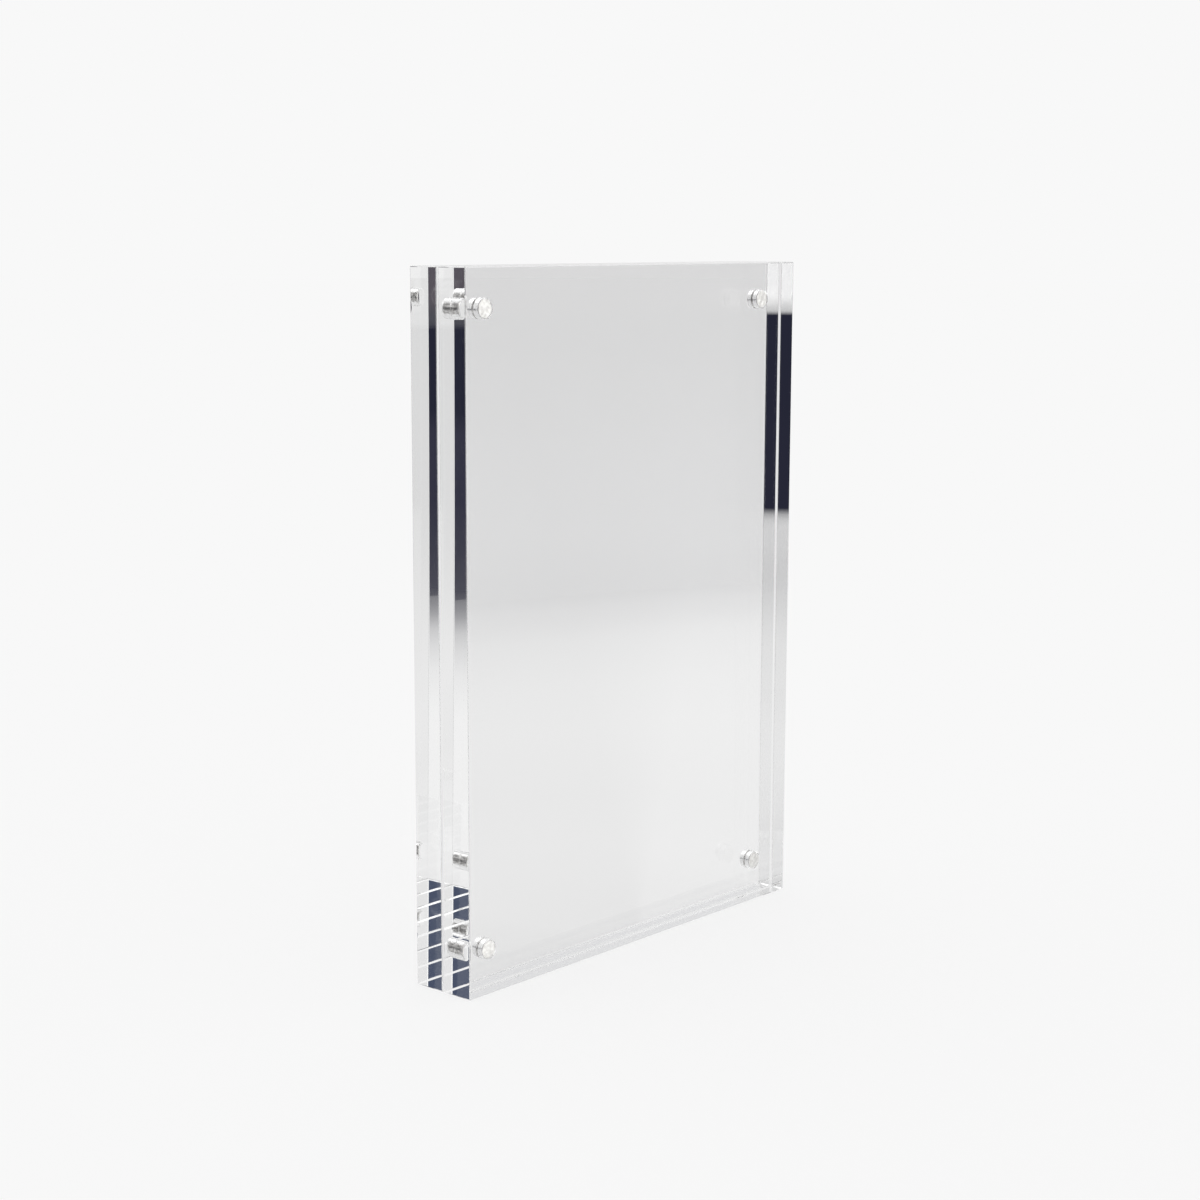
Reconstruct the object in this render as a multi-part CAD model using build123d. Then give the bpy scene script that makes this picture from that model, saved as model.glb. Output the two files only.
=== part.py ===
from build123d import *
import os

# Acrylic block frame: two clear blocks that clasp a print between them with four pairs of disc magnets.
# X runs across the width, -Y is the viewer's side and +Z is up. The origin is in the middle of the
# print slot, on the surface that both blocks stand on.

# Blocks, in millimetres
BLOCK_WIDTH = 127.0
BLOCK_HEIGHT = 177.8
BLOCK_THICKNESS = 9.1
EDGE_BEVEL = 0.3

# Disc magnets, the same eight times
MAGNET_DIAMETER = 5.0
MAGNET_LENGTH = 3.0
MAGNET_RIM_BREAK = 0.25
MAGNET_SIDE_INSET = 10.0
MAGNET_END_INSET = 10.0
MAGNET_PROUD = 0.25

# Blind bores that seat the magnets, and the bed of adhesive on each bore's floor
BORE_CLEARANCE = 0.1
BORE_MOUTH_BREAK = 0.1
ADHESIVE_THICKNESS = 0.25

# The magnets of a pair meet face to face, so what they stand proud is the room left for the print.
PRINT_SLOT = 2 * MAGNET_PROUD
INNER_FACE = PRINT_SLOT / 2
MAGNET_RADIUS = MAGNET_DIAMETER / 2
MAGNET_SEATED = MAGNET_LENGTH - MAGNET_PROUD
BORE_RADIUS = MAGNET_RADIUS + BORE_CLEARANCE
BORE_DEPTH = MAGNET_SEATED + ADHESIVE_THICKNESS
BED_RADIUS = MAGNET_RADIUS + BORE_CLEARANCE / 2

# Each block lies on its own side of the slot along Y.
SIDES = {"front": -1, "rear": 1}
COLUMN = BLOCK_WIDTH / 2 - MAGNET_SIDE_INSET
ROWS = {"bottom": MAGNET_END_INSET, "top": BLOCK_HEIGHT - MAGNET_END_INSET}
CORNERS = {
    f"{row}_{column}": (x, z)
    for row, z in ROWS.items()
    for column, x in {"left": -COLUMN, "right": COLUMN}.items()
}
FROM_FLOOR = (Align.CENTER, Align.CENTER, Align.MIN)


def seat(side, corner):
    """Plane on a block's inner face at a bore's mouth, with its normal into the block."""
    x, z = corner
    return Plane(origin=(x, side * INNER_FACE, z), x_dir=(1, 0, 0), z_dir=(0, side, 0))


def make_bore():
    """Flat-floored blind bore with a broken edge at its mouth, as a cutting tool."""
    barrel = Cylinder(BORE_RADIUS, BORE_DEPTH, align=FROM_FLOOR)
    mouth = Cone(BORE_RADIUS + BORE_MOUTH_BREAK, BORE_RADIUS, BORE_MOUTH_BREAK, align=FROM_FLOOR)
    return barrel + mouth


def make_block(side):
    """One clear block, its twelve arrises bevelled, with a bore at each corner of its inner face."""
    block = Box(BLOCK_WIDTH, BLOCK_THICKNESS, BLOCK_HEIGHT, align=FROM_FLOOR)
    block = chamfer(block.edges(), EDGE_BEVEL)
    block = Pos(0, side * (INNER_FACE + BLOCK_THICKNESS / 2), 0) * block
    bore = make_bore()
    return block - [seat(side, corner) * bore for corner in CORNERS.values()]


def make_magnet(side, corner):
    """Disc magnet with broken rims, standing a little proud of the inner face."""
    magnet = Cylinder(MAGNET_RADIUS, MAGNET_LENGTH, align=FROM_FLOOR)
    rims = magnet.edges().filter_by(GeomType.CIRCLE)
    return seat(side, corner) * Pos(0, 0, -MAGNET_PROUD) * chamfer(rims, MAGNET_RIM_BREAK)


def make_adhesive(side, corner):
    """Bed of cured adhesive between a bore's floor and its magnet, squeezed half way out to the wall."""
    bed = Cylinder(BED_RADIUS, ADHESIVE_THICKNESS, align=FROM_FLOOR)
    return seat(side, corner) * Pos(0, 0, MAGNET_SEATED) * bed


os.makedirs("parts", exist_ok=True)
for side_name, side in SIDES.items():
    export_step(make_block(side), f"parts/{side_name}_block.step")
    for corner_name, corner in CORNERS.items():
        export_step(make_magnet(side, corner), f"parts/{side_name}_magnet_{corner_name}.step")
        export_step(make_adhesive(side, corner), f"parts/{side_name}_adhesive_{corner_name}.step")
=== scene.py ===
import math

import bmesh
import bpy
from mathutils import Matrix, Vector
from mathutils.geometry import tessellate_polygon


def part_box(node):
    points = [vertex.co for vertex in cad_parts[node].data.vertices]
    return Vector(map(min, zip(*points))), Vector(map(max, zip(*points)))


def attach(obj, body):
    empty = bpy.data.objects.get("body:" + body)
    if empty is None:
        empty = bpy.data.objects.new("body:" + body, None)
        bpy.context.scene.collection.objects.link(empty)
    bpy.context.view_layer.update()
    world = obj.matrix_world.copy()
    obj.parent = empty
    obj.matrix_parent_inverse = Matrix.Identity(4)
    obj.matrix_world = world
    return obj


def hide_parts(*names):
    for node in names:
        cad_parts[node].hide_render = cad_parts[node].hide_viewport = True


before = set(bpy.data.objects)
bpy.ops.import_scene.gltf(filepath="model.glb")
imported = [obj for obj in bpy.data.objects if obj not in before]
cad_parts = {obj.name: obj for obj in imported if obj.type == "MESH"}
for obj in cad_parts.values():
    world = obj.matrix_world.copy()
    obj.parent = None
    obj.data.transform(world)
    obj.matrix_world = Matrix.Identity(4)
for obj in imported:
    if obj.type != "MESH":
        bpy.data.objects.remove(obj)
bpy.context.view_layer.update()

# Acrylic block frame: clear blocks, plated magnets and beds of adhesive, in a pale studio

MM = 0.001
SIDES = ("front", "rear")
CORNERS = ("bottom_left", "bottom_right", "top_left", "top_right")

# Camera, fitted to the block's corners in the photograph
CAMERA_PLACE = Vector((-432.5, -378.3, 186.5)) * MM
CAMERA_YAW = math.radians(48.46)
CAMERA_PITCH = math.radians(9.47)
CAMERA_ROLL = math.radians(0.18)
CAMERA_LENS = 66.74
CAMERA_SENSOR = 36.0
CAMERA_NEAR = 0.01
CAMERA_FAR = 50.0

# Block edges and bores
ARRIS = 0.3 * MM
ARRIS_STEPS = 3
BORE_CLEARANCE = 0.1 * MM
BORE_MOUTH_BREAK = 0.1 * MM
BORE_FLOOR_FILLET = 0.45 * MM
BORE_FILLET_STEPS = 8
BORE_SIDES = 72
BORE_MATTE = 0.24
TOOL_MARK_PITCH = 0.3 * MM
TOOL_MARK_DEPTH = 0.006 * MM
TOOL_MARK_STEPS = 5

# Magnets
MAGNET_RIM = 0.25 * MM
MAGNET_RIM_STEPS = 4
MAGNET_SIDES = 64

# Beds of adhesive: how wide each is from the bore's floor to the magnet, and how its edge wavers
FILM_AIR = 0.01 * MM
FILM_SIDES = 48
FILM_SHARES = (0.82, 0.92, 0.96)
FILM_WAVER = 0.005
FILM_RIPPLE = 0.6
FILM_PHASE_STEP = 1.7

# Clear acrylic. Scales of noise are per metre, and a span is the part of its range that counts.
ACRYLIC_IOR = 1.49
ACRYLIC_TINTS = ((1.0, 1.0, 1.0), (0.992, 0.992, 0.992))
TINT_SCALE = 12
HAZE_SCALE = 60
HAZE_SPAN = (0.45, 0.75)
HAZE = 0.012

# Nickel plate. The end's span says how squarely a surface faces along Y where the side gives way to the end.
END_SPAN = (0.6, 0.9)
# Tints of the ends, painted lighter than plain nickel to stand in for the light on them
END_LIT_TINTS = ((0.78, 0.77, 0.76), (1.0, 0.995, 0.99))
END_ROUGHNESS = (0.25, 0.45)
# Tints of the side, painted darker for the shade in the narrow gap round it in the bore, and mottled
SIDE_SHADED_TINTS = ((0.30, 0.29, 0.28), (0.82, 0.81, 0.80))
SIDE_ROUGHNESS = (0.20, 0.42)
PATCH_SPAN = (0.4, 0.6)
MOTTLE_SCALE = 1100
GRAIN_SCALE = 2500
LUMP_SCALE = 1400
DENT_SCALE = 500
DENT_WEIGHT = 4.0
DENT_STRENGTH = 0.8
DENT_HEIGHT = 0.06 * MM

# Clear adhesive, with the index that it has against the acrylic
ADHESIVE_IOR = 1.01
ADHESIVE_TINTS = ((0.97, 0.97, 0.95), (1.0, 1.0, 1.0))
ADHESIVE_ROUGHNESS = (0.03, 0.2)
CLOUD_SCALE = 700

# Bounces of light in the bevels and through the cards
LIGHT_BOUNCES = 200
CARD_BOUNCES = 32

# Stage: the floor, and the pale shade in which the camera sees it and the world
FLOOR_DROP = 0.1 * MM
FLOOR_RADIUS = 8.0
FLOOR_SEGMENTS = 96
FLOOR_SHADOW = 0.12
PALE = 0.939

# Painted shades of the set that the blocks show, mirrored or straight through, as stops of a turn or a reach
# and a shade. Turn runs from -1.4 behind the frame on the left to 1.4 in front of it on the right, and reach
# is the distance from the frame in metres. What is mirrored many times is painted a little darker.
TURN_AXIS = (1, -1, 0)
LONG_WAY_DEPTH = 4.5
LONG_WAY_SHADE = 0.95
MIRROR_TURNS = (
    (-1.4, 0.80),
    (0.02, 0.815),
    (0.09, 0.84),
    (0.19, 0.875),
    (0.3, 0.86),
    (0.7, 0.94),
    (1.4, 0.94),
)
MIRROR_REACHES = ((0.08, 0.86), (0.26, 0.83), (0.38, 0.815), (0.5, 0.80), (0.7, 0.79))
STRAIGHT_REACHES = (
    (0.0, 0.835),
    (0.04, 0.835),
    (0.08, 0.845),
    (0.15, 0.832),
    (0.2, 0.84),
    (0.27, 0.848),
    (0.39, 0.858),
    (0.5, 0.885),
    (0.8, 0.905),
    (1.5, 0.89),
    (3.0, 0.87),
    (8.0, 0.87),
)
STRAIGHT_TURNS = ((-1.4, 0.955), (0.02, 0.95), (0.1, 0.97), (0.18, 1.0), (1.4, 1.0))
SKY_TURNS = (
    (-1.4, 0.80),
    (-0.4, 0.86),
    (0.02, 0.835),
    (0.19, 0.87),
    (0.7, 0.94),
    (1.4, 0.94),
)


def grey(shade):
    """Colour of one shade."""
    return (shade, shade, shade)


# Colours of the cards that the polished blocks mirror: painted reflections, dark and bright, that light
# nothing
NAVY = (0.019, 0.020, 0.036)
DUSK = (0.036, 0.036, 0.058)
PLUM = (0.045, 0.035, 0.052)
SLATE = (0.050, 0.068, 0.122)
WHITE = grey(1.09)
END_GLINT_GLOW = grey(1.6)
LOW_END_GLINT_GLOW = grey(1.35)
HIGHLIGHT_GLOW = grey(2.0)

# Counts of bounces are whole numbers, so half a bounce parts none from one.
HALF_BOUNCE = 0.5

# Clear surfaces between the camera and a card that shows: more than the first number, fewer than the second
FLAG_DEPTHS = (-0.5, 6.5)
END_GLINT_DEPTHS = (6.5, 100.0)
PANEL_DEPTHS = (-0.5, 100.0)
SHEEN_DEPTHS = (-0.5, 0.5)
BEHIND_DEPTHS = (0.5, 100.0)

# Heights of what lies along the floor, between it and the blocks' base, in millimetres
FOOT = -0.06
SHEEN_FOOT = -0.03

# Cards at the edge of the set and flat on the floor, and two bright panels, in millimetres. None lights
# anything: they are painted reflections and painted highlights, and painted shade where they lie on the
# floor.
# Each starts from a line between two points, and its rows give the way out from there, the height, the
# colour and the cover.
CARDS = {
    "front_right": {
        "depths": FLAG_DEPTHS,
        "line": ((600, -289), (150, -469)),
        "rows": (
            (258, FOOT, DUSK, 0.0),
            (182, FOOT, DUSK, 0.09),
            (129, FOOT, DUSK, 0.23),
            (90, FOOT, DUSK, 0.37),
            (50, FOOT, DUSK, 0.65),
            (28, FOOT, DUSK, 0.75),
            (1.3, FOOT, DUSK, 0.83),
            (0, FOOT, DUSK, 0.96),
            (0, 4, DUSK, 1.0),
            (0, 84, DUSK, 1.0),
            (0, 96, NAVY, 1.0),
            (0, 143, NAVY, 1.0),
            (0, 150, PLUM, 1.0),
        ),
    },
    "far_front_right": {
        "depths": FLAG_DEPTHS,
        "line": ((1200, -750), (560, -750)),
        "rows": (
            (0, FOOT, PLUM, 1.0),
            (0, 160, PLUM, 1.0),
            (0, 220, SLATE, 1.0),
            (0, 470, SLATE, 1.0),
        ),
    },
    "back_left": {
        "depths": BEHIND_DEPTHS,
        "line": ((-780, 300), (-430, 760)),
        "rows": (
            (790, FOOT, NAVY, 0.08),
            (500, FOOT, NAVY, 0.11),
            (230, FOOT, NAVY, 0.08),
            (150, FOOT, NAVY, 0.02),
            (60, FOOT, NAVY, 0.02),
            (30, FOOT, NAVY, 0.12),
            (0, FOOT, NAVY, 0.42),
            (0, 2, NAVY, 0.75),
            (0, 4, NAVY, 1.0),
            (0, 131.2, NAVY, 1.0),
            (0, 134, grey(0.70), 1.0),
            (0, 138, grey(0.85), 1.0),
            (0, 143, WHITE, 1.0),
            (0, 215, WHITE, 1.0),
        ),
    },
    # A dark patch on the floor behind the frame: painted shade seen through the blocks
    "near_back": {
        "depths": BEHIND_DEPTHS,
        "line": ((62, 10), (-110, 10)),
        "rows": (
            (0, SHEEN_FOOT, NAVY, 0.19),
            (45, SHEEN_FOOT, NAVY, 0.07),
            (90, SHEEN_FOOT, NAVY, 0.0),
        ),
    },
    "left_sheen": {
        "depths": SHEEN_DEPTHS,
        "line": ((-687, 422), (-554, 597)),
        "rows": (
            (757, SHEEN_FOOT, grey(0.36), 1.0),
            (668, SHEEN_FOOT, grey(0.38), 1.0),
            (645, SHEEN_FOOT, grey(0.78), 1.0),
            (440, SHEEN_FOOT, grey(0.80), 1.0),
            (320, SHEEN_FOOT, grey(0.72), 1.0),
            (120, SHEEN_FOOT, grey(0.50), 1.0),
            (0, SHEEN_FOOT, grey(0.30), 1.0),
            (0, 30, NAVY, 1.0),
            (0, 129, NAVY, 1.0),
            (0, 133, WHITE, 1.0),
            (0, 500, WHITE, 1.0),
        ),
    },
    "front_left": {
        "depths": PANEL_DEPTHS,
        "line": ((-388, -782), (-838, -246)),
        "rows": (
            (470, FOOT, NAVY, 0.0),
            (400, FOOT, NAVY, 0.3),
            (280, FOOT, NAVY, 0.8),
            (190, FOOT, NAVY, 0.95),
            (0, FOOT, NAVY, 1.0),
            (0, 400, NAVY, 1.0),
        ),
    },
    # These two cards are painted highlights for the magnets' ends, seen through many clear surfaces
    "end_glint": {
        "depths": END_GLINT_DEPTHS,
        "line": ((600, -360), (150, -360)),
        "rows": (
            (0, 40, END_GLINT_GLOW, 0.0),
            (0, 90, END_GLINT_GLOW, 1.0),
            (0, 290, END_GLINT_GLOW, 1.0),
        ),
    },
    "low_end_glint": {
        "depths": END_GLINT_DEPTHS,
        "line": ((10, -70), (-110, -70)),
        "rows": (
            (0, SHEEN_FOOT, LOW_END_GLINT_GLOW, 1.0),
            (58, SHEEN_FOOT, LOW_END_GLINT_GLOW, 1.0),
        ),
    },
    # These two bright panels light nothing: they are painted highlights in the blocks and the magnets
    "key": {
        "depths": PANEL_DEPTHS,
        "line": ((700, -365), (100, -365)),
        "rows": (
            (0, 300, HIGHLIGHT_GLOW, 1.0),
            (0, 800, HIGHLIGHT_GLOW, 1.0),
        ),
    },
    "overhead": {
        "depths": PANEL_DEPTHS,
        "line": ((350, 450), (-350, 450)),
        "rows": (
            (0, 900, HIGHLIGHT_GLOW, 1.0),
            (900, 900, HIGHLIGHT_GLOW, 1.0),
        ),
    },
}


def new_piece(name, bm):
    """Object of a finished bmesh, in the scene."""
    mesh = bpy.data.meshes.new(name)
    bm.to_mesh(mesh)
    bm.free()
    piece = bpy.data.objects.new(name, mesh)
    bpy.context.scene.collection.objects.link(piece)
    return piece


def ring(bm, centre, radius, y, sides):
    """Ring of vertices round an axis along Y."""
    step = 2 * math.pi / sides
    return [
        bm.verts.new((centre.x + radius * math.cos(i * step), y, centre.z + radius * math.sin(i * step)))
        for i in range(sides)
    ]


def bridge(bm, first, second):
    """Band of smooth quads between two rings of one size."""
    band = []
    for i in range(len(first)):
        j = (i + 1) % len(first)
        face = bm.faces.new((first[i], first[j], second[j], second[i]))
        face.smooth = True
        band.append(face)
    return band


def turned_piece(name, bm, rings):
    """Object of rings that are bridged one after another and closed at both ends."""
    for first, second in zip(rings, rings[1:]):
        bridge(bm, first, second)
    bm.faces.new(rings[0])
    bm.faces.new(rings[-1])
    bmesh.ops.recalc_face_normals(bm, faces=bm.faces[:])
    return new_piece(name, bm)


def bore_profile(radius, depth):
    """Radius and depth down a bore: broken mouth, tool-marked wall and a small fillet at the floor."""
    points = [(radius + BORE_MOUTH_BREAK, 0.0)]
    wall_end = depth - BORE_FLOOR_FILLET
    steps = round((wall_end - BORE_MOUTH_BREAK) / TOOL_MARK_PITCH) * TOOL_MARK_STEPS
    for i in range(steps + 1):
        down = BORE_MOUTH_BREAK + (wall_end - BORE_MOUTH_BREAK) * i / steps
        mark = TOOL_MARK_DEPTH * math.sin(math.pi * i / TOOL_MARK_STEPS) ** 2
        points.append((radius - mark, down))
    for i in range(1, BORE_FILLET_STEPS + 1):
        turn = math.pi / 2 * i / BORE_FILLET_STEPS
        inset = BORE_FLOOR_FILLET * (1 - math.cos(turn))
        points.append((radius - inset, wall_end + BORE_FLOOR_FILLET * math.sin(turn)))
    return points


def build_block(side):
    """Clear block with rounded arrises and four blind bores in its inner face."""
    low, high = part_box(f"{side}_block")
    towards_slot = 1 if side == "front" else -1
    inner = high.y if side == "front" else low.y
    bm = bmesh.new()
    size = Matrix.Diagonal((*(high - low), 1))
    bmesh.ops.create_cube(bm, size=1, matrix=Matrix.Translation((low + high) / 2) @ size)
    matte = bm.faces.layers.float.new("matte")
    rounded = bmesh.ops.bevel(
        bm, geom=bm.edges[:], offset=ARRIS, segments=ARRIS_STEPS, profile=0.5, affect="EDGES"
    )
    for face in rounded["faces"]:
        face.smooth = True
    inner_face = max(bm.faces, key=lambda f: (round(f.normal.y * towards_slot, 3), f.calc_area()))
    loops = [list(inner_face.verts)]
    bmesh.ops.delete(bm, geom=[inner_face], context="FACES_ONLY")
    for corner in CORNERS:
        magnet_low, magnet_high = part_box(f"{side}_magnet_{corner}")
        film_low, film_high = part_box(f"{side}_adhesive_{corner}")
        centre = (magnet_low + magnet_high) / 2
        floor = film_low.y if side == "front" else film_high.y
        radius = (magnet_high.x - magnet_low.x) / 2 + BORE_CLEARANCE
        rings = [
            ring(bm, centre, r, inner - towards_slot * down, BORE_SIDES)
            for r, down in bore_profile(radius, abs(floor - inner))
        ]
        for upper, lower in zip(rings, rings[1:]):
            for face in bridge(bm, upper, lower):
                face[matte] = BORE_MATTE
        bm.faces.new(rings[-1])
        loops.append(rings[0])
    flat = [v for loop in loops for v in loop]
    for corners in tessellate_polygon([[v.co for v in loop] for loop in loops]):
        bm.faces.new([flat[i] for i in corners])
    bmesh.ops.recalc_face_normals(bm, faces=bm.faces[:])
    return new_piece(f"{side}_block_clear", bm)


def build_magnet(side, corner):
    """Plated disc magnet with rounded rims."""
    low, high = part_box(f"{side}_magnet_{corner}")
    centre = (low + high) / 2
    radius = (high.x - low.x) / 2
    profile = []
    for i in range(MAGNET_RIM_STEPS + 1):
        turn = math.pi / 2 * i / MAGNET_RIM_STEPS
        inset = MAGNET_RIM * (1 - math.sin(turn))
        rise = MAGNET_RIM * (1 - math.cos(turn))
        profile.append((radius - inset, low.y + rise))
    profile += [(r, high.y - (y - low.y)) for r, y in reversed(profile)]
    bm = bmesh.new()
    rings = [ring(bm, centre, r, y, MAGNET_SIDES) for r, y in profile]
    return turned_piece(f"{side}_magnet_{corner}_plated", bm, rings)


def build_film(side, corner, phase):
    """Bed of cured adhesive with a wavering edge, narrower towards the bore's floor."""
    low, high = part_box(f"{side}_adhesive_{corner}")
    centre = (low + high) / 2
    radius = (high.x - low.x) / 2
    shares = FILM_SHARES if side == "front" else FILM_SHARES[::-1]
    step = 2 * math.pi / FILM_SIDES
    bm = bmesh.new()
    rings = []
    for share, y in zip(shares, (low.y + FILM_AIR, centre.y, high.y - FILM_AIR)):
        loop = []
        for i in range(FILM_SIDES):
            turn = i * step
            waver = math.sin(2 * turn + phase) + FILM_RIPPLE * math.sin(3 * turn + 2 * phase)
            r = radius * share * (1 - FILM_WAVER * (1 + waver / (1 + FILM_RIPPLE)))
            loop.append(bm.verts.new((centre.x + r * math.cos(turn), y, centre.z + r * math.sin(turn))))
        rings.append(loop)
    return turned_piece(f"{side}_adhesive_{corner}_drop", bm, rings)


class Graph:
    """Node tree of a material or of the world, with the kinds of node that this scene uses."""

    def __init__(self, tree):
        self.nodes = tree.nodes
        self.links = tree.links

    def new(self, kind):
        """New node of a kind."""
        return self.nodes.new(f"ShaderNode{kind}")

    def feed(self, socket, value):
        """Link a socket to another one, or set its colour or its number."""
        if isinstance(value, bpy.types.NodeSocket):
            self.links.new(value, socket)
        elif isinstance(value, tuple):
            socket.default_value = (*value, 1)
        else:
            socket.default_value = value

    def attribute(self, name):
        """Outputs of a mesh attribute."""
        node = self.new("Attribute")
        node.attribute_name = name
        return node.outputs

    def noise(self, place, scale, detail=2.0):
        """Noise texture at a scale per metre."""
        node = self.new("TexNoise")
        self.feed(node.inputs["Vector"], place)
        self.feed(node.inputs["Scale"], scale)
        self.feed(node.inputs["Detail"], detail)
        return node.outputs["Fac"]

    def spread(self, value, span, result):
        """Value mapped from a span to a result, and held at its ends."""
        node = self.new("MapRange")
        sockets = ("Value", "From Min", "From Max", "To Min", "To Max")
        for socket, part in zip(sockets, (value, *span, *result)):
            self.feed(node.inputs[socket], part)
        return node.outputs["Result"]

    def mix(self, factor, first, second, kind="RGBA", blend="MIX"):
        """Mix of two colours or two numbers."""
        node = self.new("Mix")
        node.data_type = kind
        node.blend_type = blend
        for socket, part in zip(("Factor", "A", "B"), (factor, first, second)):
            self.feed(node.inputs[socket], part)
        return node.outputs["Result"]

    def mix_shaders(self, factor, first, second):
        """Mix of two shaders."""
        node = self.new("MixShader")
        for socket, part in zip(node.inputs, (factor, first, second)):
            self.feed(socket, part)
        return node.outputs["Shader"]

    def maths(self, operation, *values):
        """Result of an operation on numbers."""
        node = self.new("Math")
        node.operation = operation
        for socket, value in zip(node.inputs, values):
            self.feed(socket, value)
        return node.outputs["Value"]

    def some(self, count):
        """1 where a count of bounces isn't 0."""
        return self.maths("GREATER_THAN", count, HALF_BOUNCE)

    def none(self, count):
        """1 where a count of bounces is 0."""
        return self.maths("LESS_THAN", count, HALF_BOUNCE)

    def length(self, place):
        """Distance of a place from the origin."""
        node = self.new("VectorMath")
        node.operation = "LENGTH"
        self.feed(node.inputs[0], place)
        return node.outputs["Value"]

    def turn(self, place):
        """Direction of a place: lowest behind the frame on the left, highest in front of it on the right."""
        unit = self.new("VectorMath")
        unit.operation = "NORMALIZE"
        self.feed(unit.inputs[0], place)
        along = self.new("VectorMath")
        along.operation = "DOT_PRODUCT"
        along.inputs[1].default_value = TURN_AXIS
        self.feed(along.inputs[0], unit.outputs["Vector"])
        return along.outputs["Value"]

    def shades(self, value, stops):
        """Grey that follows a value, from stops of value and shade."""
        low = stops[0][0]
        high = stops[-1][0]
        node = self.new("ValToRGB")
        elements = node.color_ramp.elements
        while len(elements) < len(stops):
            elements.new(0.5)
        for element, (place, shade) in zip(elements, stops):
            element.position = (place - low) / (high - low)
            element.color = (*grey(shade), 1)
        self.feed(node.inputs["Fac"], self.spread(value, (low, high), (0.0, 1.0)))
        return node.outputs["Color"]

    def bump(self, height, strength, distance):
        """Normal of a bumpy surface."""
        node = self.new("Bump")
        for socket, part in zip(("Strength", "Distance", "Height"), (strength, distance, height)):
            self.feed(node.inputs[socket], part)
        return node.outputs["Normal"]


def new_material(name):
    """New material with its node tree, its shader's inputs and its texture coordinates."""
    material = bpy.data.materials.new(name)
    material.use_nodes = True
    graph = Graph(material.node_tree)
    shader = graph.nodes["Principled BSDF"]
    return material, graph, shader.inputs, graph.new("TexCoord").outputs


def acrylic_material():
    """Clear cast acrylic with a trace of tint and haze, and matte walls in the bores."""
    material, graph, shader, coords = new_material("clear_acrylic")
    place = coords["Object"]
    tint = graph.mix(graph.noise(place, TINT_SCALE), *ACRYLIC_TINTS)
    haze = graph.spread(graph.noise(place, HAZE_SCALE, detail=4), HAZE_SPAN, (0.0, HAZE))
    graph.feed(shader["Transmission Weight"], 1.0)
    graph.feed(shader["IOR"], ACRYLIC_IOR)
    graph.feed(shader["Base Color"], tint)
    graph.feed(shader["Roughness"], graph.maths("MAXIMUM", haze, graph.attribute("matte")["Fac"]))
    return material


def nickel_material():
    """Nickel plate: bright on the ends, duller and lumpy round the side, with painted light on the ends and
    painted shade round the side.
    """
    material, graph, shader, coords = new_material("nickel_plate")
    place = coords["Object"]
    facing = graph.new("SeparateXYZ")
    graph.feed(facing.inputs["Vector"], coords["Normal"])
    on_end = graph.spread(graph.maths("ABSOLUTE", facing.outputs["Y"]), END_SPAN, (0.0, 1.0))
    lumps = graph.noise(place, LUMP_SCALE, detail=3)
    side_patches = graph.spread(lumps, PATCH_SPAN, (0.0, 1.0))
    end_patches = graph.spread(graph.noise(place, MOTTLE_SCALE, detail=3), PATCH_SPAN, (0.0, 1.0))
    # The side's colour is painted shade and the end's painted light; the patches in both are mottle of the
    # plate.
    shaded_side_colour = graph.mix(side_patches, *SIDE_SHADED_TINTS)
    lit_end_colour = graph.mix(end_patches, *END_LIT_TINTS)
    grain = graph.noise(place, GRAIN_SCALE, detail=4)
    side_rough = graph.spread(grain, (0.0, 1.0), SIDE_ROUGHNESS)
    end_rough = graph.spread(grain, (0.0, 1.0), END_ROUGHNESS)
    dents = graph.noise(place, DENT_SCALE, detail=1)
    uneven = graph.maths("MULTIPLY_ADD", dents, DENT_WEIGHT, lumps)
    graph.feed(shader["Metallic"], 1.0)
    graph.feed(shader["Base Color"], graph.mix(on_end, shaded_side_colour, lit_end_colour))
    graph.feed(shader["Roughness"], graph.mix(on_end, side_rough, end_rough, kind="FLOAT"))
    graph.feed(shader["Normal"], graph.bump(uneven, DENT_STRENGTH, DENT_HEIGHT))
    return material


def adhesive_material():
    """Clear cured adhesive, a little cloudy in patches."""
    material, graph, shader, coords = new_material("clear_adhesive")
    cloud = graph.noise(coords["Object"], CLOUD_SCALE, detail=3)
    graph.feed(shader["Transmission Weight"], 1.0)
    graph.feed(shader["IOR"], ADHESIVE_IOR)
    graph.feed(shader["Base Color"], graph.mix(cloud, *ADHESIVE_TINTS))
    graph.feed(shader["Roughness"], graph.spread(cloud, (0.0, 1.0), ADHESIVE_ROUGHNESS))
    return material


def finish_piece(piece, body, slot, material, *replaced):
    """Seat a piece: its material, its body and the CAD nodes it stands for. The slot is not used."""
    piece.data.materials.append(material)
    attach(piece, body)
    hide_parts(*replaced)


def build_frame():
    """Both halves of the frame: a block, and the magnet and the adhesive at each of its corners."""
    acrylic = acrylic_material()
    nickel = nickel_material()
    adhesive = adhesive_material()
    phase = 0.0
    for side in SIDES:
        body = f"{side}_half"
        finish_piece(build_block(side), body, "clear_acrylic", acrylic, f"{side}_block")
        for corner in CORNERS:
            phase += FILM_PHASE_STEP
            magnet = f"{side}_magnet_{corner}"
            film = f"{side}_adhesive_{corner}"
            finish_piece(build_magnet(side, corner), body, "nickel_plate", nickel, magnet)
            finish_piece(build_film(side, corner, phase), body, "clear_adhesive", adhesive, film)


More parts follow.
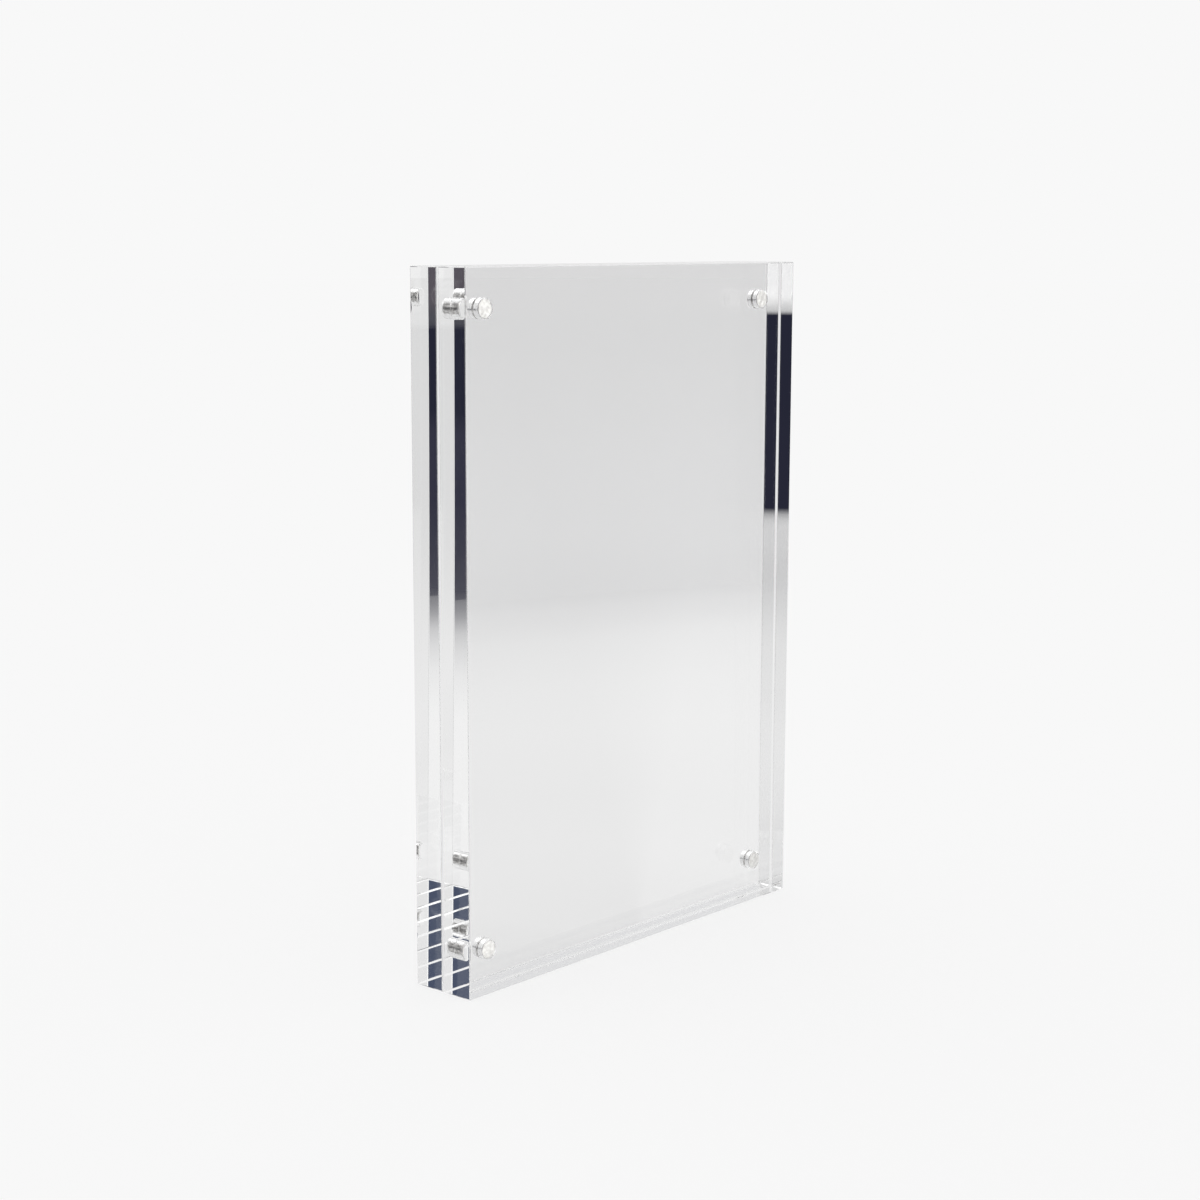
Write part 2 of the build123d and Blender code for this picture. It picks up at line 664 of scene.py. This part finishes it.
def floor_material():
    """Pale floor with a soft shadow, mostly glowing in its colour, and with painted shades where the blocks
    show it.
    """
    material, graph, shader, coords = new_material("studio_floor")
    place = coords["Object"]
    path = graph.new("LightPath").outputs
    turn = graph.turn(place)
    reach = graph.length(place)
    # What the blocks show of the floor is painted shade by turn and reach, not shade that falls on it
    mirrored = graph.mix(
        1.0, graph.shades(turn, MIRROR_TURNS), graph.shades(reach, MIRROR_REACHES), blend="LIGHTEN"
    )
    long_way = graph.maths("GREATER_THAN", path["Glossy Depth"], LONG_WAY_DEPTH)
    mirrored = graph.mix(long_way, mirrored, grey(LONG_WAY_SHADE), blend="MULTIPLY")
    straight = graph.mix(
        1.0, graph.shades(reach, STRAIGHT_REACHES), graph.shades(turn, STRAIGHT_TURNS), blend="MULTIPLY"
    )
    through = graph.mix(graph.some(path["Glossy Depth"]), straight, mirrored)
    colour = graph.mix(path["Is Camera Ray"], through, grey(PALE))
    graph.feed(shader["Base Color"], colour)
    graph.feed(shader["Roughness"], 1.0)
    graph.feed(shader["Specular IOR Level"], 0.0)
    # Most of the floor glows in its colour; only FLOOR_SHADOW of it is lit and keeps the shadow
    glow = graph.new("Emission")
    graph.feed(glow.inputs["Color"], colour)
    lit = graph.nodes["Principled BSDF"].outputs["BSDF"]
    surface = graph.mix_shaders(FLOOR_SHADOW, glow.outputs["Emission"], lit)
    graph.feed(graph.nodes["Material Output"].inputs["Surface"], surface)
    return material


def build_floor():
    """Studio floor, a hair below the blocks so that their base stays a free surface."""
    bm = bmesh.new()
    drop = Matrix.Translation((0, 0, -FLOOR_DROP))
    bmesh.ops.create_circle(bm, cap_ends=True, segments=FLOOR_SEGMENTS, radius=FLOOR_RADIUS, matrix=drop)
    floor = new_piece("studio_floor", bm)
    floor.data.materials.append(floor_material())


def build_world():
    """Even white light, seen as the pale backdrop by the camera and in painted shades of the set by glass
    and metal.
    """
    world = bpy.data.worlds.new("studio")
    bpy.context.scene.world = world
    world.use_nodes = True
    graph = Graph(world.node_tree)
    path = graph.new("LightPath").outputs
    towards = graph.new("TexCoord").outputs["Generated"]
    colour = graph.shades(graph.turn(towards), SKY_TURNS)
    colour = graph.mix(path["Is Camera Ray"], colour, grey(PALE))
    colour = graph.mix(graph.some(path["Diffuse Depth"]), colour, grey(1.0))
    graph.feed(graph.nodes["Background"].inputs["Color"], colour)


def card_material(name, depths):
    """Painted reflection: a card that shows in reflections alone, in its rows' colour and cover, within its
    depths.
    """
    material = bpy.data.materials.new(name)
    material.use_nodes = True
    graph = Graph(material.node_tree)
    graph.nodes.clear()
    rows = graph.attribute("card")
    path = graph.new("LightPath").outputs
    shown = (
        graph.maths("GREATER_THAN", path["Transmission Depth"], depths[0]),
        graph.maths("LESS_THAN", path["Transmission Depth"], depths[1]),
        graph.some(path["Glossy Depth"]),
        graph.none(path["Diffuse Depth"]),
    )
    cover = rows["Alpha"]
    for condition in shown:
        cover = graph.maths("MULTIPLY", cover, condition)
    glow = graph.new("Emission")
    graph.feed(glow.inputs["Color"], rows["Color"])
    clear = graph.new("BsdfTransparent").outputs["BSDF"]
    surface = graph.mix_shaders(cover, clear, glow.outputs["Emission"])
    graph.feed(graph.new("OutputMaterial").inputs["Surface"], surface)
    return material


def build_cards():
    """The cards, each a strip of quads between the two ends of its rows."""
    for name, card in CARDS.items():
        start, end = (Vector((*point, 0)) * MM for point in card["line"])
        towards = (end - start).normalized().cross(Vector((0, 0, 1)))
        bm = bmesh.new()
        colours = bm.verts.layers.float_color.new("card")
        pairs = []
        for out, height, colour, cover in card["rows"]:
            shift = towards * out * MM + Vector((0, 0, height * MM))
            pair = [bm.verts.new(point + shift) for point in (start, end)]
            for vert in pair:
                vert[colours] = (*colour, cover)
            pairs.append(pair)
        for lower, upper in zip(pairs, pairs[1:]):
            bm.faces.new((lower[0], lower[1], upper[1], upper[0]))
        piece = new_piece(f"card_{name}", bm)
        piece.data.materials.append(card_material(f"card_{name}", card["depths"]))
        piece.visible_camera = False
        piece.visible_diffuse = False
        piece.visible_shadow = False


def build_camera():
    """Camera that sees the frame as the photograph does."""
    camera = bpy.data.objects.new("camera", bpy.data.cameras.new("camera"))
    bpy.context.scene.collection.objects.link(camera)
    camera.data.lens = CAMERA_LENS
    camera.data.sensor_width = CAMERA_SENSOR
    camera.data.clip_start = CAMERA_NEAR
    camera.data.clip_end = CAMERA_FAR
    look = (
        Matrix.Rotation(-CAMERA_YAW, 4, "Z")
        @ Matrix.Rotation(math.pi / 2 - CAMERA_PITCH, 4, "X")
        @ Matrix.Rotation(CAMERA_ROLL, 4, "Z")
    )
    camera.matrix_world = Matrix.Translation(CAMERA_PLACE) @ look
    bpy.context.scene.camera = camera


build_frame()
build_floor()
build_world()
build_cards()
build_camera()

scene = bpy.context.scene
scene.view_settings.view_transform = "Standard"
scene.cycles.max_bounces = LIGHT_BOUNCES
scene.cycles.glossy_bounces = LIGHT_BOUNCES
scene.cycles.transmission_bounces = LIGHT_BOUNCES
scene.cycles.transparent_max_bounces = CARD_BOUNCES
